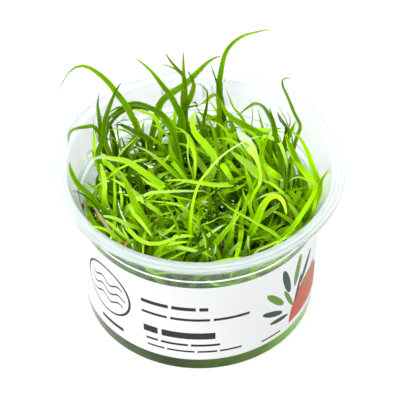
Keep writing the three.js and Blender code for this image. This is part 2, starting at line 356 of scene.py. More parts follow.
# Distance round the label from its front, and height, both in mm
axes = make_node("SeparateXYZ", Vector=object_place()).outputs
front_angle = maths("ARCTAN2", axes["X"], maths("MULTIPLY", axes["Y"], -1.0))
round_label = maths("MULTIPLY", front_angle, LABEL_RADIUS)
up_label = maths("MULTIPLY", axes["Z"], 1 / MM)
flat_label = make_node("CombineXYZ", X=round_label, Y=up_label).outputs[0]


def placed(centre, half, turn=0.0):
    """Label coordinates where a mark with the given centre and half size fills -1 to 1."""
    return make_node(
        "Mapping", [("vector_type", "TEXTURE")], Vector=flat_label, Location=(*centre, 0),
        Rotation=(0, 0, math.radians(turn)), Scale=(*half, 1),
    ).outputs[0]


def oval(*place):
    return make_node("VectorMath", [("operation", "LENGTH")], Vector=placed(*place)).outputs["Value"]


def oval_mark(*place):
    return maths("LESS_THAN", oval(*place), 1.0)


def bar_mark(left, right, height, tall):
    place = placed(((left + right) / 2, height), ((right - left) / 2, tall / 2))
    own = make_node("SeparateXYZ", Vector=place).outputs
    across = maths("ABSOLUTE", own["X"])
    along = maths("ABSOLUTE", own["Y"])
    return maths("LESS_THAN", maths("MAXIMUM", across, along), 1.0)


def any_of(marks):
    whole = marks[0]
    for mark in marks[1:]:
        whole = maths("MAXIMUM", whole, mark)
    return whole


# Rows of plain dark bars: height and thickness, then the left and right end of each bar, in mm
PRINT_ROWS = [
    (28.4, 1.5, (-17.7, -9.2), (-8.2, -1.0), (0.0, 2.6)),
    (23.6, 1.1, (-17.6, -9.6), (-8.6, 3.2), (4.2, 15.2)),
    (16.2, 2.9, (-17.2, -12.6), (-11.4, 4.8)),
    (11.9, 1.0, (-16.4, -12.6), (-11.7, -3.4), (-2.5, 6.2)),
    (8.9, 0.8, (-16.1, -10.6), (-9.8, -1.4), (-0.6, 5.4), (6.2, 13.0)),
    (9.2, 1.6, (-34.5, -24.8)),
    (7.3, 0.7, (19.8, 27.0)),
    (30, 1.2, (52, 74), (-80, -60)),
    (27, 1.0, (52, 70), (-82, -60)),
    (24, 1.0, (52, 76), (-78, -60)),
    (21, 1.0, (52, 66), (-84, -60)),
    (18, 1.0, (52, 75), (-76, -60)),
    (15, 1.0, (52, 71)),
]
RING_AT = (-31.4, 23.4)
RING_RADIUS = 9.6
WAVE_GAP = 3.6
ring_run = oval(RING_AT, (RING_RADIUS, RING_RADIUS))
ring_line = maths("COMPARE", ring_run, 1.0, 0.045)
ring_inside = maths("LESS_THAN", ring_run, 0.82)
waves = []
for wave_height in (-WAVE_GAP, 0.0, WAVE_GAP):
    swell = maths("MULTIPLY", maths("SINE", maths("MULTIPLY", round_label, 0.9)), 0.9)
    level = maths("SUBTRACT", maths("SUBTRACT", up_label, RING_AT[1] + wave_height), swell)
    waves.append(maths("MULTIPLY", maths("COMPARE", level, 0.0, 0.4), ring_inside))
bars = [bar_mark(*ends, height, tall) for height, tall, *row in PRINT_ROWS for ends in row]
ink_mask = any_of([*bars, ring_line, *waves])

# A plain sprig of oval leaves over a round hill: centre, half size, turn in degrees
LEAF_MARKS = [
    ((23.6, 17.6), (4.4, 1.2), -28), ((24.4, 23.4), (5.4, 1.2), -52), ((28.6, 28.6), (6.2, 1.3), -74),
    ((33.6, 29.6), (6.4, 1.3), 82), ((38.6, 27.0), (6.0, 1.2), 62), ((41.5, 21.0), (5.0, 1.1), 38),
    ((26.4, 13.0), (3.8, 1.0), -8), ((30.0, 20.0), (5.4, 0.8), -66), ((34.6, 20.6), (5.6, 0.8), 76),
]
HILL_FOOT = 7.6
dark_leaves = any_of([oval_mark(*mark) for mark in LEAF_MARKS[::2]])
light_leaves = any_of([oval_mark(*mark) for mark in LEAF_MARKS[1::2]])
hill_oval = oval_mark((41.5, 8.0), (10.6, 15.0))
warm_hill = maths("MULTIPLY", hill_oval, maths("GREATER_THAN", up_label, HILL_FOOT))

printed = (0.985, 0.995, 1.0)
for ink, mask in (
    ((0.014, 0.018, 0.022), ink_mask),
    ((0.62, 0.075, 0.03), warm_hill),
    ((0.02, 0.06, 0.03), dark_leaves),
    ((0.12, 0.3, 0.03), light_leaves),
):
    inked = make_node("Mix", [("data_type", "RGBA")], Factor=mask, A=printed, B=ink)
    printed = inked.outputs["Result"]
set_sockets(shader_of(label_print), Base_Color=printed)
label.data.materials.append(label_back_glowing)
label.data.materials.append(label_print)
for face in label.data.polygons:
    if face.normal.xy.dot(face.center.xy) > 0:
        face.material_index = 1
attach(label, "root")
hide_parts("label")

# Gel. The nutrient jelly that the plantlets root in, poured hot and set on the floor of the cup,
# olive with old roots and drawn up a little where it touches the wall.
GEL_TOP = 12.0
GEL_BOTTOM = FLOOR_THICK - 0.15
GEL_RADIUS = BASE_RADIUS - WALL + 0.12
GEL_TURNS = 96
GEL_UNEVEN = 0.5 * MM
LUMPS_PER_METRE = 160
gel_profile = (
    [(GEL_RADIUS - 8, GEL_BOTTOM)]
    + arc((GEL_RADIUS - 0.35, GEL_BOTTOM + 0.35), 0.35, -90, 0, 4)
    + [(GEL_RADIUS, 8), (GEL_RADIUS, GEL_TOP + 1.1), (GEL_RADIUS - 0.4, GEL_TOP + 0.55)]
    + [(GEL_RADIUS - 1.6, GEL_TOP + 0.1)]
    + [(radius, GEL_TOP) for radius in (30, 26, 22, 18, 14, 10, 6, 2)]
)
gel = turned("gel", gel_profile, GEL_TURNS)
for vertex in gel.data.vertices:
    if vertex.co.z > (GEL_TOP - 0.1) * MM:
        vertex.co.z += GEL_UNEVEN * noise.noise(vertex.co * LUMPS_PER_METRE)


def colour_ramp(value, stops):
    """The colour that a ramp of (place, colour) stops gives for a value."""
    node = make_node("ValToRGB", Fac=value)
    ramp = node.color_ramp.elements
    ends = (stops[0], stops[-1])
    for stop, (where, colour) in zip(ramp, ends):
        stop.position = where
        stop.color = (*colour, 1)
    for where, colour in stops[1:-1]:
        ramp.new(where).color = (*colour, 1)
    return node.outputs["Color"]


def multiplied(colour, share):
    """A colour, darkened or lightened by the share that another node gives."""
    settings = [("data_type", "RGBA"), ("blend_type", "MULTIPLY")]
    return make_node("Mix", settings, Factor=1, A=colour, B=share).outputs["Result"]


gel_stuff = new_material("nutrient_gel", Roughness=0.12, IOR=1.34)
tree = gel_stuff.node_tree
place = object_place()
cloud = make_node("TexNoise", Scale=45, Detail=5, Vector=place).outputs["Fac"]
tint = colour_ramp(cloud, [(0.35, (0.034, 0.072, 0.0002)), (0.68, (0.13, 0.28, 0.001))])
to_right = make_node("SeparateXYZ", Vector=place).outputs["X"]
paler = make_node("MapRange", Value=to_right, From_Min=0, From_Max=0.03, To_Min=0.8, To_Max=3.2)
set_sockets(shader_of(gel_stuff), Base_Color=multiplied(tint, paler.outputs["Result"]))
gel_at_wall = gel_stuff.copy()
gel_at_wall.name = "nutrient_gel_at_wall"
set_sockets(shader_of(gel_at_wall), Specular_IOR_Level=0)
gel.data.materials.append(gel_stuff)
gel.data.materials.append(gel_at_wall)
for face in gel.data.polygons:
    if face.center.z < (GEL_TOP - 0.5) * MM:
        face.material_index = 1
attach(gel, "root")
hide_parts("gel")

# Long leaves. Each is one narrow, strap-like blade, channelled above and keeled below, that grew
# from the foot of its crown and arches over towards a fine point.
BLADE_STEPS = 38
BLADE_SECTION = [
    (-1.0, 0.6), (-0.5, 0.2), (0.0, -0.2), (0.5, 0.2), (1.0, 0.6), (0.5, -0.15), (0.0, -0.6), (-0.5, -0.15),
]
BLADE_CREASE = math.radians(80)


def needle(s):
    """Half width of a leaf that narrows all along to a thread-like tip, as a share of its widest."""
    return min(1, 0.55 + 1.6 * s) * max(0.0, 1 - s ** 1.7) ** 0.75


def strap(s):
    """Half width of a leaf that stays broad until near its tip."""
    return min(1, 0.5 + 1.6 * s) * max(0.0, 1 - s ** 7) ** 0.8


def whip(s):
    """Half width of a leaf that ends in a long thin thread."""
    return min(1, 0.6 + 1.5 * s) * max(1 - (s / 0.93) ** 6, 0.3 * max(0, 1 - s) ** 0.3)


def reed(s):
    """Half width of a leaf that is widest in the middle."""
    return math.sin(math.pi * (0.09 + 0.88 * s)) ** 0.8


def lance(s):
    """Half width of a leaf that is widest past the middle."""
    return math.sin(math.pi * (0.12 + 0.86 * s ** 1.7)) ** 0.8


def straight_blade(name, steps, section, blade_width):
    """A blade one unit long: its section as a small ring, extruded and narrowed step by step."""
    bpy.ops.object.select_all(action="DESELECT")
    bpy.ops.mesh.primitive_circle_add(vertices=len(section), radius=1, rotation=(0, math.pi / 2, 0))
    blade = bpy.context.object
    blade.name = name
    bpy.ops.object.transform_apply()
    for vertex, (across, thick) in zip(blade.data.vertices, section):
        vertex.co = (0, across * blade_width(0), thick * 0.8)
    bpy.ops.object.mode_set(mode="EDIT")
    bpy.ops.mesh.select_all(action="SELECT")
    bpy.ops.mesh.edge_face_add()
    for step in range(1, steps):
        here = step / steps
        before = (step - 1) / steps
        slim = blade_width(here) / blade_width(before)
        thin = (1 - 0.7 * here) / (1 - 0.7 * before)
        bpy.ops.mesh.extrude_region_move(TRANSFORM_OT_translate={"value": (1 / steps, 0, 0)})
        bpy.ops.transform.resize(value=(1, slim, thin), center_override=(here, 0, 0))
    bpy.ops.mesh.extrude_region_move(TRANSFORM_OT_translate={"value": (1 / steps, 0, 0)})
    bpy.ops.mesh.merge(type="CENTER")
    bpy.ops.mesh.select_all(action="SELECT")
    bpy.ops.mesh.normals_make_consistent(inside=False)
    bpy.ops.object.mode_set(mode="OBJECT")
    bpy.ops.object.shade_smooth_by_angle(angle=BLADE_CREASE)
    mesh = blade.data
    uv = mesh.uv_layers.active or mesh.uv_layers.new(name="UVMap")
    for loop in mesh.loops:
        point = mesh.vertices[loop.vertex_index].co
        uv.data[loop.index].uv = (0.5 + 0.5 * point.y / max(blade_width(point.x), 0.02), point.x)
    mesh.attributes.new("tone", "FLOAT", "POINT")
    return blade


def smooth_line(points, count=60):
    """Points evenly spaced along a smooth curve through the given points."""
    route = [2 * points[0] - points[1], *points, 2 * points[-1] - points[-2]]
    dense = []
    for i in range(1, len(route) - 2):
        p0, p1, p2, p3 = route[i - 1 : i + 3]
        d0, d1, d2 = ((b - a).length ** 0.5 + 1e-9 for a, b in ((p0, p1), (p1, p2), (p2, p3)))
        m1 = ((p1 - p0) / d0 - (p2 - p0) / (d0 + d1) + (p2 - p1) / d1) * d1
        m2 = ((p2 - p1) / d1 - (p3 - p1) / (d1 + d2) + (p3 - p2) / d2) * d1
        for k in range(16):
            t = k / 16
            dense.append(
                (2 * t**3 - 3 * t**2 + 1) * p1 + (t**3 - 2 * t**2 + t) * m1
                + (3 * t**2 - 2 * t**3) * p2 + (t**3 - t**2) * m2
            )
    dense.append(points[-1])
    line = np.array(dense)
    run = np.concatenate([[0], np.cumsum(np.linalg.norm(np.diff(line, axis=0), axis=1))])
    even = np.linspace(0, run[-1], count)
    return np.stack([np.interp(even, run, line[:, k]) for k in range(3)], axis=1)


def bent_copy(blade, name, points, width, thick, tones, facing=(0, -0.5, 0.85), twist=0.0):
    """A copy of the straight blade, laid along a line, with its face turned towards a direction.

    Its tone runs from the first of tones at its foot to the second at its tip."""
    line = smooth_line(points)
    tangent = np.gradient(line, axis=0)
    tangent /= np.linalg.norm(tangent, axis=1)[:, None]
    across = np.cross(tangent, np.array(facing, float))
    for i in range(1, len(across)):
        if across[i] @ across[i - 1] < 0:
            across[i] *= -1
    across /= np.linalg.norm(across, axis=1)[:, None] + 1e-12
    face = np.cross(tangent, across)
    turn = twist * np.linspace(0, 1, len(line))[:, None] ** 1.5
    across, face = (
        across * np.cos(turn) + face * np.sin(turn),
        face * np.cos(turn) - across * np.sin(turn),
    )
    copy = own_copy(blade, name)
    flat = np.empty(len(copy.data.vertices) * 3)
    copy.data.vertices.foreach_get("co", flat)
    flat = flat.reshape(-1, 3)
    share = np.clip(flat[:, 0], 0, 1)
    low = np.minimum((share * (len(line) - 1)).astype(int), len(line) - 2)
    part = (share * (len(line) - 1) - low)[:, None]
    middle, side, front = (v[low] * (1 - part) + v[low + 1] * part for v in (line, across, face))
    bent = middle + side * flat[:, 1:2] * width / 2 - front * flat[:, 2:3] * thick / 2
    copy.data.vertices.foreach_set("co", bent.ravel())
    shades = tones[0] + (tones[1] - tones[0]) * share
    copy.data.attributes["tone"].data.foreach_set("value", shades.astype(np.float32))
    copy.data.update()
    return copy


def rings_from(tip):
    """The points of a leaf solid ring by ring, from its tip down, while the rings hold four points."""
    seen = {tip}
    ring = [tip]
    rings = []
    while True:
        ring = [v for v in {e.other_vert(u) for u in ring for e in u.link_edges} if v not in seen]
        if len(ring) != 4:
            return rings
        rings.append([v.co.copy() for v in ring])
        seen.update(ring)


def leaf_lines(node):
    """Of each leaf in a solid: the middles of its rings from its lowest ring to its tip, and its width."""
    bm = bmesh.new()
    bm.from_mesh(nodes[node].data)
    bmesh.ops.remove_doubles(bm, verts=bm.verts, dist=2 * MERGE_DISTANCE)
    found = []
    for vertex in bm.verts:
        lengths = [e.calc_length() for e in vertex.link_edges]
        spread = sum(loop.calc_angle() for loop in vertex.link_loops)
        if len(lengths) == 4 and min(lengths) > 3 * MM and spread < 1.6:
            rings = rings_from(vertex)
            middles = [sum(ring, Vector()) / 4 for ring in rings][::-1] + [vertex.co.copy()]
            width = max((a - b).length for ring in rings for a in ring for b in ring)
            found.append((middles, width))
    bm.free()
    found.sort(key=lambda leaf: (round(leaf[0][-1].x, 5), round(leaf[0][-1].y, 5)))
    return found


leaf_green = new_material(
    "leaf_green", Roughness=0.17, IOR=1.33, Specular_IOR_Level=0.13, Subsurface_Weight=0.35,
    Subsurface_Radius=(0.5, 1.0, 0.05), Subsurface_Scale=0.0006,
)
tree = leaf_green.node_tree
tone = make_node("Attribute", [("attribute_name", "tone")]).outputs["Fac"]
leaf_uv = make_node("UVMap").outputs["UV"]
stretched = make_node("Mapping", Vector=leaf_uv, Scale=(9, 2.2, 1)).outputs["Vector"]
veins = make_node("TexNoise", Scale=1.6, Detail=4, Vector=stretched).outputs["Fac"]
place = object_place()
patch = make_node("TexNoise", Scale=120, Detail=2, Vector=place).outputs["Fac"]


def varied(base, pattern, weight):
    """A tone that a noise pattern makes darker and lighter."""
    return maths("MULTIPLY_ADD", maths("SUBTRACT", pattern, 0.5), weight, base)


across_leaf = make_node("SeparateXYZ", Vector=leaf_uv).outputs["X"]
off_rib = maths("ABSOLUTE", maths("MULTIPLY_ADD", across_leaf, 2.0, -1.0))
rib = maths("MAXIMUM", maths("MULTIPLY_ADD", off_rib, -5.0, 1.0), 0.0)
edge = maths("MAXIMUM", maths("MULTIPLY_ADD", off_rib, 4.0, -3.0), 0.0)
ribbed = maths("ADD", maths("MULTIPLY_ADD", rib, -0.1, tone), maths("MULTIPLY", edge, 0.05))
# Leaf greens from the tone: the lightest stops, yellow lime and silvery pale, give painted highlights and
# glints as well as pale leaf.
greens_with_painted_light = colour_ramp(varied(varied(ribbed, veins, 0.3), patch, 0.22), [
    (0.0, (0.006, 0.022, 0.0004)),
    (0.2, (0.026, 0.07, 0.0002)),
    (0.4, (0.09, 0.2, 0.0003)),
    (0.58, (0.215, 0.47, 0.0005)),
    (0.78, (0.4, 0.87, 0.0012)),
    (0.9, (0.42, 0.78, 0.05)),
    (1.0, (0.46, 0.54, 0.4)),
])

# Painted shade and light: the leaves' green is darkened low in the clump, where they lie in each other's
# shade, and lightened near its top
up = make_node("SeparateXYZ", Vector=place).outputs["Z"]
painted_depth_shade = make_node("MapRange", Value=up, From_Min=0.016, From_Max=0.045, To_Min=0.05, To_Max=1.28)
furrow = make_node("Bump", Strength=0.35, Distance=0.0002, Height=veins)
set_sockets(
    shader_of(leaf_green), Base_Color=multiplied(greens_with_painted_light, painted_depth_shade.outputs["Result"]),
    Normal=furrow.outputs["Normal"],
)

PATTERNS = {
    outline: straight_blade(outline.__name__ + "_blade", BLADE_STEPS, BLADE_SECTION, outline)
    for outline in (needle, strap, whip, reed, lance)
}
# Of each plantlet's long leaves: outline, width in mm, how light the foot and the tip are, from 0,
# nearly black green, to 1, silvery pale, a tone that holds painted shade and painted highlights as
# well as the leaf's own green, how many mm it lies above its solid where it crosses over others,
# and the pixels where the photograph shows it, from root to tip, none where it is hidden
LONG_LEAVES = {
    "plant_01": [
        (reed, 2.2, 0.66, 0.98, 2, (193, 206), (183, 198), (175, 193), (166, 188), (156, 181.5),
         (146, 174), (136, 167), (126, 161), (114, 159), (101, 157), (93, 159), (80.6, 158)),
        (strap, 2.2, 0.76, 0.86, 0),
        (reed, 2.2, 0.7, 0.82, 0, (250, 235), (255, 225), (259, 215), (263, 206), (269, 198.6),
         (276.5, 196.5), (281.6, 199.6), (284.7, 206), (286.7, 215)),
    ],
    "plant_02": [
        (lance, 1.4, 0.42, 0.34, 0, (184, 77), (181, 73), (174.5, 66), (169, 59), (165, 52)),
        (reed, 1.68, 0.78, 0.84, 2, (230, 185), (215, 185), (200, 183), (193, 182), (178, 180),
         (164, 181)),
        (needle, 1.56, 0.76, 0.84, 2, (195, 234), (196, 223), (194, 218), (190, 213), (184.5, 208),
         (178, 205), (170, 203), (160, 202), (151, 201), (141, 200)),
        (strap, 1.8, 0.52, 0.2, 0, (176, 143), (171, 128), (165, 118), (158, 111.5), (150, 108),
         (142.5, 105), (136, 103.5), (129, 104), (124, 107.5), (118, 111), (113, 116), (108.6, 124),
         (106, 131), (104, 137)),
    ],
    "plant_03": [
        (reed, 2.1, 0.66, 0.88, 3, (153, 231.5), (146, 222), (141, 214), (135, 203.5), (130, 192),
         (126, 183), (121.5, 174), (115, 167)),
        (needle, 1.44, 0.66, 0.78, 0, (157, 256), (167, 250), (178, 249), (185.5, 250), (192, 251),
         (201, 252), (207, 254), (213, 258)),
    ],
    "plant_04": [
        (reed, 1.12, 0.1, 0.14, 5, (217, 214), (216.6, 206), (216, 200), (216, 193), (216.6, 185),
         (219, 171), (220, 161)),
        (needle, 1.44, 0.7, 0.82, 0, (224, 258.5), (224, 254), (227, 244), (230, 233.5), (233, 225),
         (238.6, 215.6), (244, 207)),
        (needle, 2.04, 0.2, 0.96, 0, (317, 186), (310, 182), (303, 178), (297, 177), (292, 179),
         (288, 182)),
    ],
    "plant_05": [
        (reed, 2.35, 0.6, 0.62, 0, (319, 185), (313, 169), (309, 156), (304, 144.5), (297, 135),
         (290, 131)),
        (reed, 1.68, 0.56, 0.62, 0, (320, 185), (322, 180), (329, 169)),
        (reed, 2.24, 0.7, 0.5, 0),
    ],
    "plant_06": [
        (reed, 1.79, 0.56, 0.4, 0, (274.5, 130), (272, 122), (268, 114), (263, 107), (258, 104),
         (253, 104), (247, 108), (241, 113), (237, 117)),
        (strap, 3.3, 0.84, 0.86, 2, (280, 185), (271, 181), (256, 173), (248, 165), (239, 158),
         (230, 151)),
        (strap, 1.2, 0.5, 0.42, 0, (296, 140), (298, 134), (300.5, 128), (299, 122), (295, 115),
         (291, 105), (287, 95.5), (283, 87), (282, 82), (284, 79), (288, 78), (291.5, 79.5)),
        (needle, 1.92, 0.66, 0.6, 0, (245, 124), (240, 115), (233, 107), (230, 99), (227, 92),
         (224.5, 86)),
    ],
    "plant_07": [
        (lance, 1.6, 0.44, 0.44, 0, (183, 108), (183, 100), (183.5, 91), (184, 81), (183.6, 71),
         (183.4, 61), (183.4, 50)),
        (needle, 2.8, 0.42, 0.46, 0, (222, 110), (219, 91), (219.4, 81), (221, 71), (223, 61),
         (225.5, 53), (229.6, 46.5), (235, 41), (241, 37), (248, 34), (257, 32), (265, 30), (275.5, 30)),
        (needle, 1.92, 0.4, 0.34, 0, (225, 123), (221, 100), (218, 86), (215, 77), (212, 68), (210, 62)),
        (reed, 1.79, 0.5, 0.94, 0, (209, 197), (193, 185), (181, 178), (172, 171.6), (163, 163.6),
         (154, 156), (145, 150), (135, 146.5)),
    ],
    "plant_08": [
        (whip, 2.1, 0.48, 0.4, 0, (126, 161), (127, 151), (131, 144), (135, 139), (137.6, 133),
         (137.6, 128.5), (135, 122), (130, 113), (125, 104), (118, 95), (113, 88), (106, 80), (99, 74),
         (92, 69), (85, 66), (79, 66), (73, 68.5), (67, 75), (62, 84), (59.5, 93)),
        (needle, 3.4, 0.4, 0.42, 0, (181.6, 117), (176.5, 107), (170.4, 95.5), (162, 85), (152, 72),
         (142, 63), (133.7, 56.7)),
        (needle, 2.16, 0.34, 0.4, 0),
    ],
    "plant_09": [
        (lance, 2.3, 0.42, 0.42, 0, (158, 112), (159, 106), (163, 100), (170, 94.5), (178.6, 89),
         (186, 84), (191, 79), (198, 72), (207, 63), (210, 61), (215, 58), (222, 56)),
        (whip, 1.5, 0.56, 0.28, 0, (104, 150), (101, 136), (92.5, 126), (87, 127), (80.6, 127.7),
         (73, 130), (70, 133), (68.4, 140), (68.2, 148)),
        (strap, 1.4, 0.42, 0.4, 0, (99.6, 120), (98, 106), (99, 95), (100, 91)),
    ],
    "plant_10": [
        (strap, 1.8, 0.7, 0.46, 0, (112, 222), (104, 212), (96, 203), (91, 196.5), (85, 191), (78.6, 185),
         (73.5, 177), (70.3, 168), (70, 161)),
        (strap, 2.0, 0.82, 0.88, 4, (101.6, 198), (102, 191), (102.7, 183), (101.6, 173), (100.6, 163)),
        (strap, 1.8, 0.6, 0.2, 0, (98, 154), (101, 145), (103, 140), (104, 127), (106, 117), (109, 108),
         (113, 97.5), (120, 84), (123, 82)),
    ],
    "plant_11": [
        (needle, 1.44, 0.4, 0.24, 0),
        (reed, 1.79, 0.78, 0.84, 0),
        (reed, 1.79, 0.66, 0.8, 0),
    ],
    "plant_12": [
        (reed, 1.79, 0.76, 0.82, 0),
        (reed, 1.79, 0.66, 0.8, 0),
        (needle, 1.56, 0.5, 0.46, 0),
    ],
    "plant_13": [
        (reed, 0.9, 0.5, 1.0, 2, (191.6, 251), (190.5, 240), (190, 226), (191, 216), (193, 203),
         (196, 191), (201, 180), (206, 174), (213, 165), (222, 156), (232, 148.6), (241, 143.5),
         (249, 139), (257, 137), (263, 136)),
        (needle, 1.92, 0.72, 0.78, 0),
    ],
    "plant_14": [
        (strap, 2.0, 0.56, 0.24, 0, (281, 160), (275, 132), (273.5, 122), (271, 114), (269, 107)),
        (needle, 1.56, 0.76, 0.82, 1, (274.5, 234), (263, 227), (249, 219), (240, 214), (234, 210.5),
         (226, 205), (220, 200)),
        (needle, 1.2, 0.6, 0.4, 0, (292, 160), (292, 137), (289, 128), (286, 120), (281.6, 112),
         (277, 104)),
    ],
}
FRAME_PIXELS = 400
FOCAL_PIXELS = LENS / SENSOR_WIDTH * FRAME_PIXELS
FRAME_MIDDLE = Vector((FRAME_PIXELS / 2, FRAME_PIXELS / 2))
LEAF_ROOM = 34.2
NECK_FLARE = 0.28
LIFT_STEP = 0.25 * MM
START_SEARCH = 45
LEAF_TWIST = 0.4


def seen_at(column, row, height):
    """The point that the photograph shows at a pixel, if it lies height metres above the table."""
    ray = Vector((column - FRAME_MIDDLE.x, FRAME_MIDDLE.y - row, -FOCAL_PIXELS))
    ray.rotate(camera.rotation_euler)
    return camera.location + ray * ((height - camera.location.z) / ray.z)


def pixel_of(point):
    """The pixel of the photograph, column and row, that shows a point."""
    ray = point - camera.location
    ray.rotate(camera.rotation_euler.to_matrix().inverted())
    return Vector((ray.x, -ray.y)) * FOCAL_PIXELS / -ray.z + FRAME_MIDDLE


def cup_room(z):
    """How far from the middle a leaf can be at a height, both in metres."""
    if z >= (CUP_HEIGHT + 0.6) * MM:
        return 1.0
    return (LEAF_ROOM + NECK_FLARE * max(0.0, z / MM - NECK_Z)) * MM


def placed_in_cup(pixel, height):
    """The point at a pixel and a height, lifted along the line of sight where it would be in the wall."""
    place = seen_at(*pixel, height)
    while place.xy.length > cup_room(place.z):
        place = seen_at(*pixel, place.z + LIFT_STEP)
    return place


def runs(points):
    """How far along each of the points lies, from 0 to 1."""
    steps = [(b - a).length for a, b in zip(points, points[1:])]
    total = sum(steps) + 1e-12
    return [sum(steps[:i]) / total for i in range(len(points))]


def seen_line(middles, route, lift):
    """A leaf's line as the photograph shows it, with the heights and the hidden root of its solid."""
    own = [Vector(p) for p in smooth_line(middles)]
    shown = [pixel_of(p) for p in own]
    route = [Vector(pixel) for pixel in route]
    start = min(range(START_SEARCH), key=lambda i: (shown[i] - route[0]).length)
    heights = np.interp(runs(route), runs(shown[start:]), [p.z for p in own[start:]])
    hidden = own[: max(1, start - 5) : 8]
    return hidden + [placed_in_cup(pixel, height + lift) for pixel, height in zip(route, heights)]


draw = random.Random(7)
greenery = []
for plant, leaves in LONG_LEAVES.items():
    for number, (outline, wide, foot_tone, tip_tone, lift, *route) in enumerate(leaves, 1):
        node = f"{plant}_leaf_{number}"
        line = leaf_lines(node)[0][0]
        if route:
            line = seen_line(line, route, lift * MM)
        twist = draw.uniform(-LEAF_TWIST, LEAF_TWIST)
        thick = (0.35 + 0.22 * wide) * MM
        tones = (foot_tone, tip_tone)
        leaf = bent_copy(PATTERNS[outline], node + "_blade", line, wide * MM, thick, tones, twist=twist)
        leaf.data.materials.append(leaf_green)
        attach(leaf, "root")
        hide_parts(node)
        greenery.append(leaf)

# Crowns. Each plantlet grew as a short thickened crown that sits on the gel, with its young leaves
# round it, all one living piece.
YOUNG_STEPS = 10
LYING_STEPS = 20
YOUNG_SECTION = [(-1.0, 0.6), (0.0, -0.2), (1.0, 0.6), (0.0, -0.6)]
YOUNG_THICK = 0.6 * MM
STRAP_FROM = 0.85
PADDLE_FROM = 2.8
EXTRA_LEAVES = 54
EXTRA_WIDTHS = (0.6, 0.9, 1.3, 1.7, 2.2)
FOOT_SPREAD = 8 * MM
BUD_RADIUS = 2 * MM
BUD_TONE = 0.85

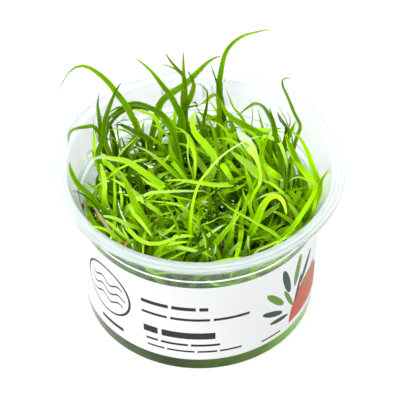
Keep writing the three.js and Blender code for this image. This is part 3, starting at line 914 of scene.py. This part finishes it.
# Leaves that lie over the rest of the clump: width in mm, tone at the foot and at the tip, which holds
# painted shade and painted highlights as well as the leaf's own green, height in mm at the foot,
# halfway and at the tip, and pixels of the photograph from foot to tip
LYING_LEAVES = [
    (2.5, 0.22, 0.12, (44, 52, 50), (103, 135), (106, 127), (110, 120.5), (117, 113.6), (124, 109.2),
     (132, 107), (141, 107.4), (150, 112)),
    (2.6, 0.2, 0.14, (42, 48, 49), (103, 138), (105, 130), (108, 124), (112, 118), (118, 112),
     (125, 109)),
    (1.5, 0.62, 0.84, (36, 46, 50), (160, 147), (160, 129), (157, 121), (152, 115), (143, 112),
     (135, 109), (127, 108)),
    (1.2, 0.7, 0.84, (38, 46, 47), (134, 139), (129, 133), (122, 130), (115, 129), (109, 130)),
    (1.5, 0.8, 0.86, (34, 40, 43), (153, 171), (162, 163), (170, 155), (174, 150)),
    (1.3, 0.5, 0.84, (44, 47, 40), (187, 135), (190, 143), (193, 150), (195, 158), (195, 167), (195, 175),
     (194, 183)),
    (1.3, 0.76, 0.5, (38, 46, 52), (220, 161), (218, 150), (216, 141), (214, 132), (210, 122),
     (206, 114)),
    (1.1, 0.55, 0.3, (40, 47, 52), (205, 140), (204, 132), (204, 124), (204, 114), (207, 104)),
    (1.8, 0.5, 0.74, (38, 46, 52), (182, 143), (178, 132), (172, 125), (166, 116), (160, 109)),
    (1.9, 0.72, 0.42, (34, 42, 46), (188, 181), (184, 175), (178, 164), (172, 156), (170, 147),
     (169, 137)),
    (2.4, 0.74, 0.4, (42, 50, 56), (267, 139), (257, 133), (249, 128), (240, 123), (232, 118), (225, 111),
     (220, 98)),
    (1.2, 0.45, 0.4, (40, 48, 44), (251, 137), (246, 130), (240, 124), (232, 121), (226, 122), (222, 125),
     (220, 133)),
    (1.8, 0.4, 0.46, (36, 43, 47), (218, 146), (224, 137), (230, 131), (237, 127)),
    (1.6, 0.8, 0.84, (34, 42, 45), (225, 153), (225, 146), (229, 140), (233, 135)),
    (1.3, 0.74, 0.9, (45, 49, 41), (263, 137), (271, 138), (279, 142), (283, 151), (286, 160),
     (287, 175)),
    (2.7, 0.84, 0.72, (40, 42, 36), (260, 165), (269, 171), (277, 176), (287, 183)),
    (1.4, 0.66, 0.6, (34, 40, 46), (277, 172), (272, 166), (268, 157), (263, 149), (261, 140)),
    (1.6, 0.42, 0.5, (32, 40, 44), (282, 172), (277, 165), (274, 156), (272, 149)),
    (2.2, 0.8, 0.74, (40, 41, 35), (221, 164), (227, 172), (232, 180), (237, 185)),
    (1.3, 0.62, 0.58, (42, 41, 35), (227, 160), (234, 168), (241, 175), (248, 180)),
    (2.2, 0.78, 0.7, (38, 46, 52), (313, 183), (305, 173), (297, 162), (291, 152), (287, 140),
     (287, 131)),
    (0.8, 0.5, 0.42, (46, 54, 58), (288, 131), (290, 123), (290, 117), (286, 111)),
    (1.0, 0.26, 0.2, (46, 53, 58), (286, 131), (280, 120), (277, 111)),
    (1.4, 0.72, 0.62, (36, 42, 44), (277, 175), (269, 169), (264, 162), (261, 153), (262, 144)),
    (1.4, 0.66, 0.7, (36, 42, 45), (283, 174), (279, 166), (275, 158), (272, 151)),
    (0.8, 0.3, 0.18, (38, 44, 48), (98, 200), (90, 200), (85, 197), (79, 193), (72, 192)),
    (1.0, 0.5, 0.6, (38, 40, 44), (94, 199), (97, 190), (98, 182)),
    (2.0, 0.88, 0.84, (44, 43, 38), (99, 161), (107, 163), (114, 170), (119, 177), (125, 184)),
    (1.2, 0.55, 0.66, (34, 40, 46), (116, 217), (115, 209), (115, 197), (115, 186), (114, 174),
     (114, 163)),
    (0.8, 0.8, 0.86, (36, 41, 44), (115, 217), (111, 211), (108, 204), (104, 194)),
    (1.0, 0.8, 0.76, (34, 38, 40), (97, 213), (100, 206), (105, 200)),
    (1.3, 0.5, 0.7, (34, 37, 40), (128, 244), (123, 240), (118, 234), (112, 228), (107, 221)),
    (1.9, 0.5, 0.6, (30, 34, 37), (119, 242), (107, 234), (101, 229), (94, 223), (89, 216)),
    (0.8, 0.86, 0.86, (38, 42, 43), (131, 243), (125, 237), (119, 231), (117, 223)),
    (1.3, 0.8, 0.88, (38, 42, 42), (121, 224), (130, 231), (137, 238), (146, 243), (155, 244), (165, 242),
     (174, 238), (184, 236), (195, 237)),
    (1.2, 0.6, 0.64, (34, 39, 43), (153, 240), (155, 231), (157, 222)),
    (1.6, 0.6, 0.66, (34, 38, 40), (173, 227), (169, 219), (166, 213)),
    (0.6, 0.76, 0.84, (38, 40, 40), (151, 216), (162, 215), (171, 212), (181, 208)),
    (1.5, 0.86, 0.88, (38, 40, 36), (174, 248), (186, 249), (196, 251), (204, 254), (211, 257)),
    (2.3, 0.82, 0.8, (36, 38, 36), (156, 256), (164, 251), (172, 249), (180, 249)),
    (2.3, 0.56, 0.5, (34, 36, 33), (159, 257), (171, 256), (181, 257), (193, 262)),
    (0.8, 0.8, 0.86, (34, 38, 40), (178, 255), (177, 246), (176, 241)),
    (0.5, 0.92, 0.98, (40, 42, 43), (178, 244), (171, 240), (162, 235), (156, 230)),
    (1.3, 0.6, 0.66, (36, 40, 43), (255, 224), (253, 216), (250, 207), (245, 198), (242, 188)),
    (1.0, 0.7, 0.96, (40, 43, 40), (282, 194), (276, 193), (269, 194), (261, 197), (254, 202)),
    (1.5, 0.7, 0.62, (33, 38, 40), (301, 230), (297, 226), (288, 219), (278, 213), (269, 210)),
    (2.1, 0.76, 0.86, (34, 39, 43), (300, 226), (298, 219), (294, 210), (287, 202)),
    (2.6, 0.6, 0.64, (34, 39, 42), (306, 215), (302, 203), (294, 196), (285, 188)),
    (1.1, 0.42, 0.5, (35, 40, 44), (308, 222), (305, 215), (300, 208), (294, 200)),
    (1.2, 0.56, 0.66, (35, 41, 46), (310, 221), (313, 212), (315, 203), (318, 192)),
    (1.6, 0.5, 0.55, (34, 37, 38), (275, 237), (282, 230), (289, 228), (297, 230)),
    (0.6, 0.84, 0.9, (38, 41, 43), (255, 252), (266, 247), (276, 242), (287, 238), (298, 231),
     (312, 224)),
    (0.9, 0.8, 0.86, (34, 37, 38), (272, 238), (261, 238), (254, 239), (248, 241)),
    (1.0, 0.8, 0.88, (40, 39, 36), (249, 235), (248, 243), (249, 249), (250, 254)),
    (0.8, 0.8, 1, (40, 44, 46), (281, 194), (281, 184), (281, 175)),
    (0.8, 0.6, 0.66, (38, 43, 46), (284, 203), (283, 187), (283, 176)),
    (2.0, 0.4, 0.36, (32, 37, 38), (282, 192), (272, 186), (264, 179)),
    (1.6, 0.56, 0.62, (35, 40, 41), (222, 194), (233, 190), (242, 186), (247, 183)),
    (1.0, 0.8, 0.94, (38, 44, 40), (126, 211), (129, 206), (135, 202), (149, 193), (163, 192), (180, 191),
     (195, 191), (204, 191), (210, 194)),
    (1.5, 0.62, 0.6, (42, 41, 36), (172, 162), (179, 170), (186, 179), (192, 185), (196, 189)),
    (1.0, 0.3, 0.34, (34, 38, 43), (197, 244), (201, 234), (202, 225), (202, 217), (200, 209),
     (195, 203)),
    (2.3, 0.28, 0.22, (50, 54, 53), (150, 142), (142, 135), (133, 131), (124, 126), (118, 124),
     (114, 125)),
    (1.4, 0.66, 0.8, (38, 46, 50), (175, 125), (172, 121), (167, 117), (163, 112)),
    (0.5, 0.78, 0.9, (40, 48, 46), (193, 176), (190, 168), (188, 159), (187.4, 150), (188, 141),
     (187.4, 135), (183, 132), (178, 131), (174, 133), (170, 137)),
    (2.5, 0.86, 0.8, (42, 49, 56), (215, 158), (211, 152), (207.5, 148), (202, 141), (196, 135),
     (193, 128), (192, 122), (193, 115), (198, 111)),
    (1.4, 0.84, 0.9, (36, 42, 42), (141, 230.5), (131, 226), (124, 223), (117, 219), (110, 217),
     (103, 216), (95, 216)),
    (1.5, 0.7, 0.8, (33, 38, 42), (140, 233), (137, 227), (133, 219), (129, 212)),
    (1.6, 0.3, 0.26, (36, 40, 40), (175, 206), (166, 210), (156, 212), (146, 210)),
    (2.3, 0.34, 0.28, (46, 56, 62), (183, 118), (186, 105), (190, 99), (193, 90), (194, 83), (191, 76),
     (187, 70)),
    (1.5, 0.28, 0.24, (54, 56, 54), (188, 107), (193, 107), (197.5, 106), (197, 103), (191, 102)),
    (1.0, 0.3, 0.26, (44, 54, 60), (204, 125), (204, 118), (206, 112), (207, 102), (208, 94.5), (206, 89),
     (201, 85), (195, 83)),
    (1.6, 0.48, 0.54, (44, 52, 54), (219, 118), (219, 105), (217, 95), (213, 95), (206, 100.6),
     (200, 105), (196, 107)),
    (0.5, 0.5, 0.4, (44, 50, 56), (251.5, 130), (252.5, 117), (252, 108), (250, 96.5)),
    (1.1, 0.4, 0.34, (60, 64, 66), (184, 78), (177, 70.5), (170, 66.5), (158, 63.5)),
    (0.9, 0.34, 0.3, (52, 56, 58), (222, 86), (224, 81), (227.5, 76)),
    (1.0, 0.3, 0.2, (46, 52, 56), (287, 130), (282, 120), (277.5, 112)),
    (1.6, 0.8, 0.84, (40, 44, 50), (94, 153), (95, 144), (94, 135), (93, 126)),
    (0.6, 0.8, 0.84, (46, 49, 48), (118, 121), (125, 120), (134, 121), (142.5, 123), (150, 125),
     (158, 128)),
    (0.6, 0.5, 0.56, (44, 46, 46), (109.5, 133), (112, 137), (117, 142), (122, 144), (125.5, 145)),
    (0.6, 0.5, 0.56, (42, 44, 46), (106, 136.5), (110, 141), (115, 145)),
    (0.8, 0.8, 0.86, (44, 49, 50), (118, 158), (120, 154), (127, 146), (135, 139), (139, 133)),
    (1.4, 0.28, 0.3, (40, 43, 42), (128, 160), (134, 156), (140, 153.5), (147, 155)),
    (0.6, 0.5, 0.44, (42, 46, 48), (91, 150), (88, 153), (86, 156)),
    (0.35, 0.4, 0.34, (48, 52, 54), (93.4, 124), (94, 117), (96.5, 111)),
    (0.35, 0.4, 0.34, (46, 50, 52), (102, 133), (99, 124), (95.6, 116)),
    (2.1, 0.86, 0.82, (44, 45, 43), (98, 161), (101, 155), (107, 157.5), (113, 162)),
    (1.0, 0.44, 0.4, (42, 48, 50), (212, 132), (203, 128), (197, 127)),
    (1.1, 0.72, 0.78, (40, 46, 50), (215, 139), (212, 128), (209, 119)),
    (1.8, 0.56, 0.6, (36, 41, 44), (185, 177), (179, 168), (174, 159), (171, 150), (170, 141)),
    (0.9, 0.7, 0.8, (36, 42, 46), (114, 215), (114.4, 206), (115, 196), (114, 186), (114.4, 175)),
    (0.6, 0.8, 0.84, (36, 41, 44), (113, 216), (111, 211), (108, 203.5), (105, 195)),
    (1.8, 0.84, 0.86, (39, 41, 40), (174, 238), (183, 236), (191, 236), (195, 236.5)),
    (0.9, 0.8, 0.84, (38, 40, 41), (160, 244), (169, 241), (175, 239)),
    (1.5, 0.8, 0.86, (36, 41, 43), (161, 236), (165, 233.5), (172, 228), (177, 222)),
    (1.5, 0.58, 0.66, (34, 38, 40), (213, 221), (208.5, 218), (201, 211.5), (196, 205)),
    (0.6, 0.82, 0.86, (40, 42, 42), (202, 225), (209, 223), (215, 220), (221, 216)),
    (1.2, 0.24, 0.24, (38, 41, 41), (217, 218), (225, 214), (232, 210)),
    (1.1, 0.8, 1.0, (36, 41, 43), (180, 218), (184.5, 211.5), (188, 205), (191, 200)),
    (1.5, 0.74, 0.96, (34, 39, 42), (196, 248), (202, 243), (207, 236.5), (214, 231), (220, 227),
     (226, 224)),
    (1.1, 0.8, 0.98, (34, 38, 42), (228, 256), (232, 251), (236.5, 245), (240, 241)),
    (3.2, 0.2, 1.05, (42, 49, 53.5), (250, 205), (252, 196), (258, 188), (261, 177), (259, 165),
     (255, 155), (249, 145), (242, 136), (236, 129)),
    (1.6, 0.84, 0.86, (42, 46, 46), (104, 198), (105, 188), (104, 177), (101, 166), (99, 160)),
    (1.5, 0.82, 0.86, (38, 44, 46), (148, 205), (139, 196), (128, 188), (118, 182), (110, 178)),
    (1.4, 0.8, 0.86, (38, 43, 44), (128, 205), (134, 214), (141, 222), (148, 231), (153, 238)),
    (1.2, 0.82, 0.84, (38, 43, 44), (120, 210), (122, 202), (121, 193), (119, 184)),
    (1.5, 0.78, 0.86, (40, 44, 43), (160, 214), (150, 206), (141, 200), (131, 196), (122, 194)),
    (1.3, 0.8, 0.84, (38, 43, 44), (172, 200), (165, 193), (157, 187), (148, 183), (140, 176)),
    (1.2, 0.84, 0.86, (36, 41, 42), (128, 240), (120, 233), (112, 225), (104, 220), (96, 218)),
    (1.1, 0.8, 0.86, (36, 41, 42), (135, 247), (128, 239), (124, 231), (121, 226)),
    (1.5, 0.24, 0.24, (35, 40, 42), (196, 262), (200, 254), (199, 246), (194, 240)),
    (1.6, 0.24, 0.26, (35, 40, 42), (215, 256), (212, 246), (207, 238), (203, 232)),
    (1.5, 0.2, 0.24, (35, 40, 41), (205, 236), (214, 232), (222, 226), (230, 220)),
    (1.4, 0.24, 0.3, (34, 38, 40), (186, 230), (180, 224), (172, 221), (163, 219)),
    (1.3, 0.82, 0.84, (38, 44, 46), (292, 205), (286, 196), (278, 189), (270, 183), (262, 180)),
    (1.4, 0.8, 0.8, (40, 46, 50), (250, 160), (243, 150), (236, 143), (227, 139), (219, 138)),
    (1.5, 0.76, 0.82, (40, 46, 52), (262, 152), (259, 143), (254, 135), (246, 130), (237, 127)),
    (1.3, 0.8, 0.84, (40, 47, 52), (196, 158), (194, 147), (189, 137), (182, 130), (174, 127)),
    (1.2, 0.74, 0.8, (40, 47, 52), (232, 150), (230, 140), (226, 131), (219, 124), (212, 121)),
    (2.4, 0.2, 0.2, (46, 53, 54), (104, 142), (105, 133), (108, 124), (112, 116), (118, 110)),
    (1.6, 0.22, 0.18, (44, 52, 52), (100, 129), (105, 124), (110, 121), (116, 118)),
    (1.6, 0.2, 0.2, (44, 50, 51), (112, 132), (110, 126), (106, 120), (102, 116)),
    (1.3, 0.84, 0.94, (36, 42, 43), (214, 258), (215, 251), (216, 243)),
    (1.5, 0.26, 0.26, (35, 40, 40), (182, 262), (192, 256), (204, 250), (212, 246)),
    (1.4, 0.24, 0.28, (35, 40, 41), (222, 262), (228, 254), (232, 246)),
    (1.2, 0.72, 0.8, (38, 46, 50), (176, 150), (172, 142), (166, 134), (158, 127), (151, 124)),
    (1.4, 0.66, 0.74, (38, 46, 50), (166, 152), (160, 144), (152, 138), (146, 134)),
]


def paddle(s):
    """Half width of a leaf that is a narrow ribbon and widens only near its tip."""
    return max(0.28, math.sin(math.pi * min(1, max(0, (s - 0.78) / 0.22))) ** 0.7)


def inside_cup(points):
    """The same points, moved in where they would be in the wall or the gel."""
    kept = []
    for point in points:
        out = point.xy.length
        room = min(cup_room(point.z), BODY_RADIUS * MM)
        share = min(1, room / out) if out > 0 else 1
        kept.append(Vector((point.x * share, point.y * share, max(point.z, (GEL_TOP + 0.6) * MM))))
    return kept


def lying_line(heights, route):
    """The line of a leaf from its pixels and its three heights, lifted where it would be in the wall."""
    route = [Vector(pixel) for pixel in route]
    first, half, last = heights
    line = []
    for u, pixel in zip(runs(route), route):
        height = (1 - u) ** 2 * first + 2 * u * (1 - u) * (2 * half - (first + last) / 2) + u ** 2 * last
        line.append(placed_in_cup(pixel, height * MM))
    return line


def clump_height(place):
    """How high the mass of short leaves stands, higher at the back and at the right."""
    back = min(1, max(0, place.y / (24 * MM)))
    right = min(1, max(0, place.x / (26 * MM)))
    return (35 + 9 * back + 4 * right) * MM


def extra_leaf(foot, heading, lean, length, droop, swing):
    """A line of five points that leaves its foot upright and bends over as it goes."""
    points = [foot]
    for k in range(4):
        bend = lean + droop * ((k + 0.5) / 4) ** 1.4
        way = heading + swing * k / 4
        step = Vector((math.sin(bend) * math.cos(way), math.sin(bend) * math.sin(way), math.cos(bend)))
        points.append(points[-1] + step * length / 4)
    return inside_cup(points)


def around(spread):
    """A random number from -spread to spread."""
    return draw.uniform(-spread, spread)


young_blade = straight_blade("young_blade", YOUNG_STEPS, YOUNG_SECTION, strap)
lying_blades = {
    outline: straight_blade("lying_" + outline.__name__, LYING_STEPS, YOUNG_SECTION, outline)
    for outline in (strap, reed, paddle)
}
crown_middles = {}
for node in sorted(n for n in nodes if n.endswith("_crown")):
    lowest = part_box(node)[0].z
    feet = [v.co for v in nodes[node].data.vertices if v.co.z < lowest + 0.1 * MM]
    crown_middles[node] = sum(feet, Vector()) / len(feet)
lying = {node: [] for node in crown_middles}
for wide, foot_tone, tip_tone, heights, *route in LYING_LEAVES:
    line = lying_line(heights, route)
    home = min(lying, key=lambda n: (crown_middles[n].xy - line[0].xy).length)
    lying[home].append((wide, (foot_tone, tip_tone), line))

for node, middle in crown_middles.items():
    parts = []
    for wide, tones, line in lying[node]:
        foot = middle + Vector((around(1.2), around(1.2), 0.8)) * MM
        between = foot.lerp(line[0], 0.55)
        between.z -= 1.5 * MM
        outline = paddle if wide > PADDLE_FROM else strap if wide > STRAP_FROM else reed
        thick = (0.3 + 0.22 * wide) * MM
        points = [foot, between, *line]
        blade = lying_blades[outline]
        parts.append(bent_copy(blade, "lying", points, wide * MM, thick, tones, twist=around(0.3)))
    for middles, width in leaf_lines(node):
        foot = middle + Vector((0, 0, 1.2 * MM))
        tone_here = min(0.8, max(0.2, draw.gauss(0.5, 0.14)))
        facing = (around(0.6), -0.5, 0.7)
        # Painted shade: each young leaf is darker at its foot than at its tip.
        tones = (tone_here - 0.1, tone_here + 0.05)
        line = [foot, *middles]
        parts.append(bent_copy(young_blade, "young", line, width, YOUNG_THICK, tones, facing, around(0.6)))
    for k in range(EXTRA_LEAVES):
        deep = k % 5 < 3
        angle = draw.uniform(0, 2 * math.pi)
        off = FOOT_SPREAD * draw.random() ** 0.5
        foot = middle + Vector((off * math.cos(angle), off * math.sin(angle), 0.2 * MM))
        heading = draw.uniform(0, 2 * math.pi)
        top = clump_height(middle) * (0.86 if deep else 1.04)
        length = draw.uniform(0.8, 1.4) * top
        droop = draw.uniform(0.6, 2.1)
        line = extra_leaf(foot, heading, draw.uniform(0.2, 0.7), length, droop, around(1.0))
        over = max(point.z for point in line) / top
        line = [Vector((point.x, point.y, point.z / max(1, over))) for point in line]
        # Painted shade: the deep leaves get darker tones than the upper ones, darker still at the front of
        # the cup, and each is darker at its foot than at its tip.
        darkest_painted_shade = 0.28 if middle.y < 0 else 0.4
        tone_here = draw.uniform(darkest_painted_shade, 0.64) if deep else draw.uniform(0.65, 0.84)
        wide = draw.choice(EXTRA_WIDTHS)
        facing = (around(0.7), draw.uniform(-0.8, 0.2), 0.8)
        tones = (tone_here - 0.1, tone_here + 0.06)
        thick = (0.3 + 0.2 * wide) * MM
        parts.append(bent_copy(young_blade, "extra", line, wide * MM, thick, tones, facing, around(0.8)))
    bpy.ops.object.select_all(action="DESELECT")
    bpy.ops.mesh.primitive_uv_sphere_add(segments=16, ring_count=10, radius=BUD_RADIUS, location=middle)
    bud = bpy.context.object
    bpy.ops.object.mode_set(mode="EDIT")
    bpy.ops.mesh.select_all(action="SELECT")
    bpy.ops.transform.resize(value=(1, 1, 1.3), center_override=middle)
    bpy.ops.object.mode_set(mode="OBJECT")
    bpy.ops.object.transform_apply()
    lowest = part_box(node)[0].z
    for vertex in bud.data.vertices:
        vertex.co.z = max(vertex.co.z, lowest)
    shades = np.full(len(bud.data.vertices), BUD_TONE, np.float32)
    bud.data.attributes.new("tone", "FLOAT", "POINT").data.foreach_set("value", shades)
    bpy.ops.object.shade_smooth()
    joined([bud, *parts], node + "_plantlet")
    bud.data.materials.append(leaf_green)
    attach(bud, "root")
    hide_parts(node)
    greenery.append(bud)

# Loose matter. Thin things caught between the leaves: dead brown leaf sheaths and white root
# threads, that lie free on the clump.
THREAD_SECTION = [(-1, 0), (0, 1), (1, 0), (0, -1)]
THREAD_SAG = 1.5 * MM
thread_blade = straight_blade("thread_blade", BLADE_STEPS, THREAD_SECTION, strap)
# Of each thing: its width in mm, its heights in mm at its start and end, None where it lies on
# the leaves that the camera sees there, and the pixels of the photograph that it covers
LOOSE_THINGS = {
    "pale_sheaths": ((0.95, 0.62, 0.42), [
        (1.0, (51.4, 38.6), [(95, 208), (98, 213), (102, 219), (106, 225), (110, 231), (112, 234)]),
        (0.6, None, [(155, 221), (158, 219), (162, 217)]),
    ]),
    "orange_sheaths": ((0.4, 0.14, 0.015), [
        (0.8, (38.5, 36), [(82.6, 203), (83, 206), (83.8, 209.5)]),
        (1.0, None, [(121, 242), (124, 244), (127, 246)]),
    ]),
    "brown_sheaths": ((0.17, 0.1, 0.012), [
        (0.7, None, [(221, 247), (222, 243), (224, 240)]),
        (0.5, None, [(226, 251), (229, 249), (232, 248)]),
        (0.8, None, [(233, 233), (236.5, 231), (240, 230)]),
        (0.6, None, [(279, 227), (281, 224), (284, 222)]),
        (0.6, None, [(289, 217), (291, 215), (294, 214)]),
        (0.5, None, [(258, 245), (261, 243), (265, 242)]),
    ]),
    "root_threads": ((0.86, 0.88, 0.74), [
        (0.34, None, [
            (118, 200), (119, 206), (120.5, 211), (122.6, 216), (125, 221), (126, 226), (127, 231.5),
        ]),
        (0.36, None, [(131.5, 239), (132, 244), (134, 250)]),
        (0.3, None, [(109.5, 115), (112, 118), (109.6, 121), (110.5, 124)]),
        (0.2, None, [(141, 160), (145, 164), (150.6, 167), (156, 166)]),
    ]),
}
bpy.context.view_layer.update()


def leaf_under(pixel, lift):
    """The point, lift in front of the leaf that a pixel's sight line meets first, or None."""
    ray = (seen_at(*pixel, 0) - camera.location).normalized()
    casts = [piece.ray_cast(camera.location, ray) for piece in greenery]
    met = [cast[1] for cast in casts if cast[0]]
    near = min(met, key=lambda place: (place - camera.location).length, default=None)
    return near - ray * lift if near else None


def laid_on_leaves(route, sag, lift):
    """A line over the leaves that the pixels show: it hangs at most sag below the highest of them."""
    places = [leaf_under(pixel, lift) for pixel in route]
    lowest = max(place.z for place in places if place) - sag
    line = []
    for pixel, place in zip(route, places):
        line.append(place if place and place.z > lowest else seen_at(*pixel, lowest))
    return line


for name, (colour, things) in LOOSE_THINGS.items():
    stuff = new_material(
        name, Base_Color=colour, Roughness=0.4, Subsurface_Weight=0.3, Subsurface_Scale=0.0005
    )
    parts = []
    for wide, heights, route in things:
        if heights:
            steps = np.linspace(*heights, len(route)) * MM
            line = [seen_at(*pixel, height) for pixel, height in zip(route, steps)]
        else:
            line = laid_on_leaves(route, THREAD_SAG, 0.25 * wide * MM)
        parts.append(bent_copy(thread_blade, name, line, wide * MM, wide * 0.5 * MM, (0, 0)))
    piece = joined(parts, name)
    piece.data.materials.append(stuff)
    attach(piece, "root")

# Gel crumbs. Bits of the nutrient jelly and drops of water, glossy and nearly clear, that stick
# to the leaves, white and faintly glowing as painted glints: diameter in mm, and pixel of the photograph.
CRUMBS = [
    (1.3, (120.5, 192)), (1.0, (124, 192)), (1.4, (108, 181)), (0.9, (98, 196)), (0.9, (106, 171)),
    (0.9, (108, 209)), (1.0, (149, 190)), (0.9, (141, 160)), (1.0, (145, 164)), (1.5, (150.6, 167)),
    (1.0, (154, 164)), (1.5, (167, 177)), (1.1, (171.5, 217)), (0.9, (122, 212)), (0.9, (125, 221)),
    (2.2, (205, 202)), (1.2, (206, 210)), (1.0, (213, 203)), (1.2, (222, 207)), (1.0, (221, 213)),
    (0.9, (215, 215)), (0.8, (231, 217)), (1.2, (233, 201)), (0.9, (210, 249)), (0.9, (154, 147)),
    (1.2, (282, 180)),
]
# Small drops scattered at random over the middle of the clump, for more painted glints there.
SMALL_DROPS = 70
DROPS_MIDDLE = (188, 200)
DROPS_REACH = (96, 46)
for k in range(SMALL_DROPS):
    angle = draw.uniform(0, 2 * math.pi)
    off = draw.random() ** 0.5
    column = DROPS_MIDDLE[0] + DROPS_REACH[0] * off * math.cos(angle)
    row = DROPS_MIDDLE[1] + DROPS_REACH[1] * off * math.sin(angle)
    CRUMBS.append((draw.uniform(0.35, 0.75), (column, row)))
bpy.ops.object.select_all(action="DESELECT")
bpy.ops.mesh.primitive_ico_sphere_add(subdivisions=2, radius=0.5 * MM)
crumb = bpy.context.object
bpy.ops.object.mode_set(mode="EDIT")
bpy.ops.mesh.select_all(action="SELECT")
bpy.ops.transform.resize(value=(1, 0.8, 0.55), center_override=(0, 0, 0))
bpy.ops.object.mode_set(mode="OBJECT")
bpy.ops.object.shade_smooth()
crumbs = []
for wide, pixel in CRUMBS:
    place = leaf_under(pixel, 0.25 * wide * MM)
    if place is None:
        continue
    copy = own_copy(crumb, "crumb")
    turn = draw.uniform(0, math.pi)
    side = Vector((math.cos(turn), math.sin(turn), 0))
    for vertex in copy.data.vertices:
        long_way = vertex.co * wide * draw.uniform(0.5, 0.75)
        vertex.co = place + long_way + side * long_way.dot(side) * 0.5
    crumbs.append(copy)
gel_crumbs = joined(crumbs, "gel_crumbs")
# Painted glints: the crumbs are white and glow faintly.
gel_crumbs.data.materials.append(new_material(
    "glint_glowing_jelly", Base_Color=(0.95, 1, 0.9), Emission_Color=(0.95, 1, 0.9), Emission_Strength=0.2,
    Roughness=0.12, IOR=1.34, Transmission_Weight=0.35, Subsurface_Weight=1,
    Subsurface_Radius=(1, 1, 1), Subsurface_Scale=0.001,
))
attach(gel_crumbs, "root")

# The straight blades and the crumb that the pieces were copied from
for spare in (*PATTERNS.values(), *lying_blades.values(), young_blade, thread_blade, crumb):
    bpy.data.objects.remove(spare)
